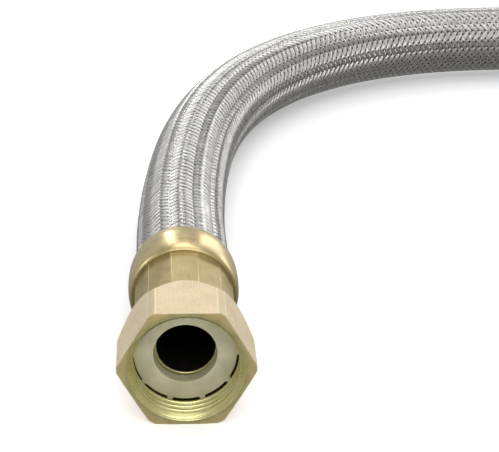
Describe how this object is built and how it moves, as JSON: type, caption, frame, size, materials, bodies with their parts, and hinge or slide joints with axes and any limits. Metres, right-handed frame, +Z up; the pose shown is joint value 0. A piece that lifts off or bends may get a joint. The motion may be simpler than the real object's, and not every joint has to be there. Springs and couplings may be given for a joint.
{
  "type": "braided supply line",
  "caption": "Flexible braided steel water hose lying in a quarter turn, with a brass swivel nut, washer and crimped ferrule at each end.",
  "frame": {"origin": "on the ground, under the middle of the box round the two end fittings", "axes": "+Z up; the near fitting's mouth faces -Y and the far fitting's mouth faces +X"},
  "size_m": [0.2742, 0.2749, 0.0286],
  "materials": {
    "nut_brass": "satin",
    "ferrule_brass": "satin",
    "insert_brass": "machined",
    "washer_rubber": "matte",
    "braid_steel": "woven wire",
    "tube_rubber": "matte"
  },
  "bodies": {
    "hose": {"steel_braid": "braid_steel", "inner_tube": "tube_rubber", "near_insert": "insert_brass", "far_insert": "insert_brass", "near_ferrule": "ferrule_brass", "far_ferrule": "ferrule_brass"},
    "near_washer": {"near_washer": "washer_rubber"},
    "near_nut": {"near_nut": "nut_brass"},
    "far_washer": {"far_washer": "washer_rubber"},
    "far_nut": {"far_nut": "nut_brass"}
  },
  "joints": [
    {"name": "near_nut_slide", "type": "slide", "parent": "hose", "child": "near_washer", "axis": [0, -1, 0], "range_m": [0, 0.0015]},
    {"name": "near_nut_swivel", "type": "hinge", "parent": "near_washer", "child": "near_nut", "pos_m": [-0.1209, -0.13745, 0.0143], "axis": [0, -1, 0], "continuous": true},
    {"name": "far_nut_slide", "type": "slide", "parent": "hose", "child": "far_washer", "axis": [1, 0, 0], "range_m": [0, 0.0015]},
    {"name": "far_nut_swivel", "type": "hinge", "parent": "far_washer", "child": "far_nut", "pos_m": [0.1371, 0.12125, 0.0143], "axis": [1, 0, 0], "continuous": true}
  ]
}
